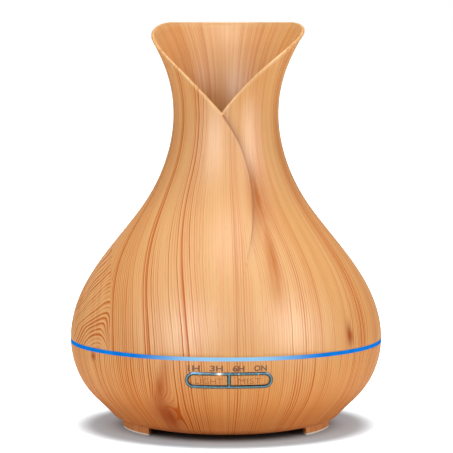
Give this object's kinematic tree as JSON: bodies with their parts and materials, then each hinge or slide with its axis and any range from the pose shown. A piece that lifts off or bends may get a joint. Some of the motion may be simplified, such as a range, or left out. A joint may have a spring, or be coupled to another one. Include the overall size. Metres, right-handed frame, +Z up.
{
  "type": "essential oil diffuser",
  "caption": "Vase-shaped ultrasonic oil diffuser with a notched wood-grain cover, a lit ring, a two-button panel and a lift-out splash lid over the water tank.",
  "frame": {"origin": "centre of the plane the foot pads stand on, on the vase's axis", "axes": "+Z up along the vase's axis, -Y towards the button panel, +X to the right seen from the front"},
  "size_m": [0.1684, 0.1684, 0.2181],
  "materials": {
    "wood_print": "satin plastic with a printed wood grain",
    "base_plastic": "fine matt",
    "bezel_plating": "dark blue-grey plating",
    "ring_guide": "milky light guide, lit blue",
    "milky_plastic": "translucent white, satin",
    "soft_silicone": "translucent grey-white",
    "screw_steel": "zinc-plated",
    "retainer_steel": "stamped",
    "piezo_ceramic": "silvered face",
    "fan_plastic": "fine matt black",
    "foam": "foam",
    "hood_plastic": "plain white",
    "green_board": "solder mask",
    "white_board": "white solder mask",
    "connector_plastic": "off-white nylon",
    "black_parts": "moulded",
    "plunger_plastic": "moulded",
    "copper_winding": "enamelled copper wire",
    "can_aluminium": "sleeved can",
    "sink_aluminium": "extruded",
    "led_lens": "clear lens over phosphor",
    "clear_pipe": "clear acrylic",
    "cable_sleeve": "flexible PVC"
  },
  "bodies": {
    "base": {"lower_housing": "wood_print", "bottom_cover": "base_plastic", "button_bezel": "bezel_plating", "light_ring": "ring_guide", "water_tank": "milky_plastic", "foot_pad_left": "soft_silicone", "foot_pad_right": "soft_silicone", "foot_pad_rear": "soft_silicone", "tank_seal": "soft_silicone", "piezo_seal": "soft_silicone", "base_screws": "screw_steel", "retainer_screws": "screw_steel", "fan_screws": "screw_steel", "board_screws": "screw_steel", "led_board_screws": "screw_steel", "control_board_screws": "screw_steel", "piezo_retainer": "retainer_steel", "piezo_disc": "piezo_ceramic", "fan_frame": "fan_plastic", "fan_gasket": "foam", "air_guide": "hood_plastic", "main_board": "green_board", "control_board": "green_board", "led_board": "white_board", "board_connectors": "connector_plastic", "control_chip": "black_parts", "driver_transistor": "black_parts", "dc_socket": "black_parts", "switch_bodies": "black_parts", "driver_coil": "copper_winding", "fan_motor_coil": "copper_winding", "capacitors": "can_aluminium", "transistor_heat_sink": "sink_aluminium", "leds": "led_lens", "indicator_leds": "led_lens", "indicator_light_pipes": "clear_pipe", "power_cable": "cable_sleeve", "fan_cable": "cable_sleeve", "led_cable": "cable_sleeve", "piezo_cable": "cable_sleeve", "control_cable": "cable_sleeve"},
    "inner_lid": {"inner_lid": "milky_plastic"},
    "top_cover": {"top_cover": "wood_print"},
    "light_button": {"light_button": "wood_print"},
    "mist_button": {"mist_button": "wood_print"},
    "light_plunger": {"light_switch_plunger": "plunger_plastic"},
    "mist_plunger": {"mist_switch_plunger": "plunger_plastic"},
    "fan_rotor": {"fan_rotor": "fan_plastic"}
  },
  "joints": [
    {"name": "lid_lift", "type": "slide", "parent": "base", "child": "inner_lid", "axis": [0, 0, 1], "range_m": [0, 0.07]},
    {"name": "cover_lift", "type": "slide", "parent": "inner_lid", "child": "top_cover", "axis": [0, 0, 1], "range_m": [0, 0.1]},
    {"name": "light_button_press", "type": "slide", "parent": "base", "child": "light_button", "axis": [0, 1, 0], "range_m": [0, 0.0006]},
    {"name": "mist_button_press", "type": "slide", "parent": "base", "child": "mist_button", "axis": [0, 1, 0], "range_m": [0, 0.0006]},
    {"name": "light_plunger_press", "type": "slide", "parent": "base", "child": "light_plunger", "axis": [0, 1, 0], "range_m": [0, 0.0006]},
    {"name": "mist_plunger_press", "type": "slide", "parent": "base", "child": "mist_plunger", "axis": [0, 1, 0], "range_m": [0, 0.0006]},
    {"name": "fan_spin", "type": "hinge", "parent": "base", "child": "fan_rotor", "pos_m": [-0.026, 0, 0.01], "axis": [0, 0, 1], "continuous": true}
  ],
  "couplings": [
    {"joint": "light_plunger_press", "follows": "light_button_press", "ratio": 1},
    {"joint": "mist_plunger_press", "follows": "mist_button_press", "ratio": 1}
  ]
}
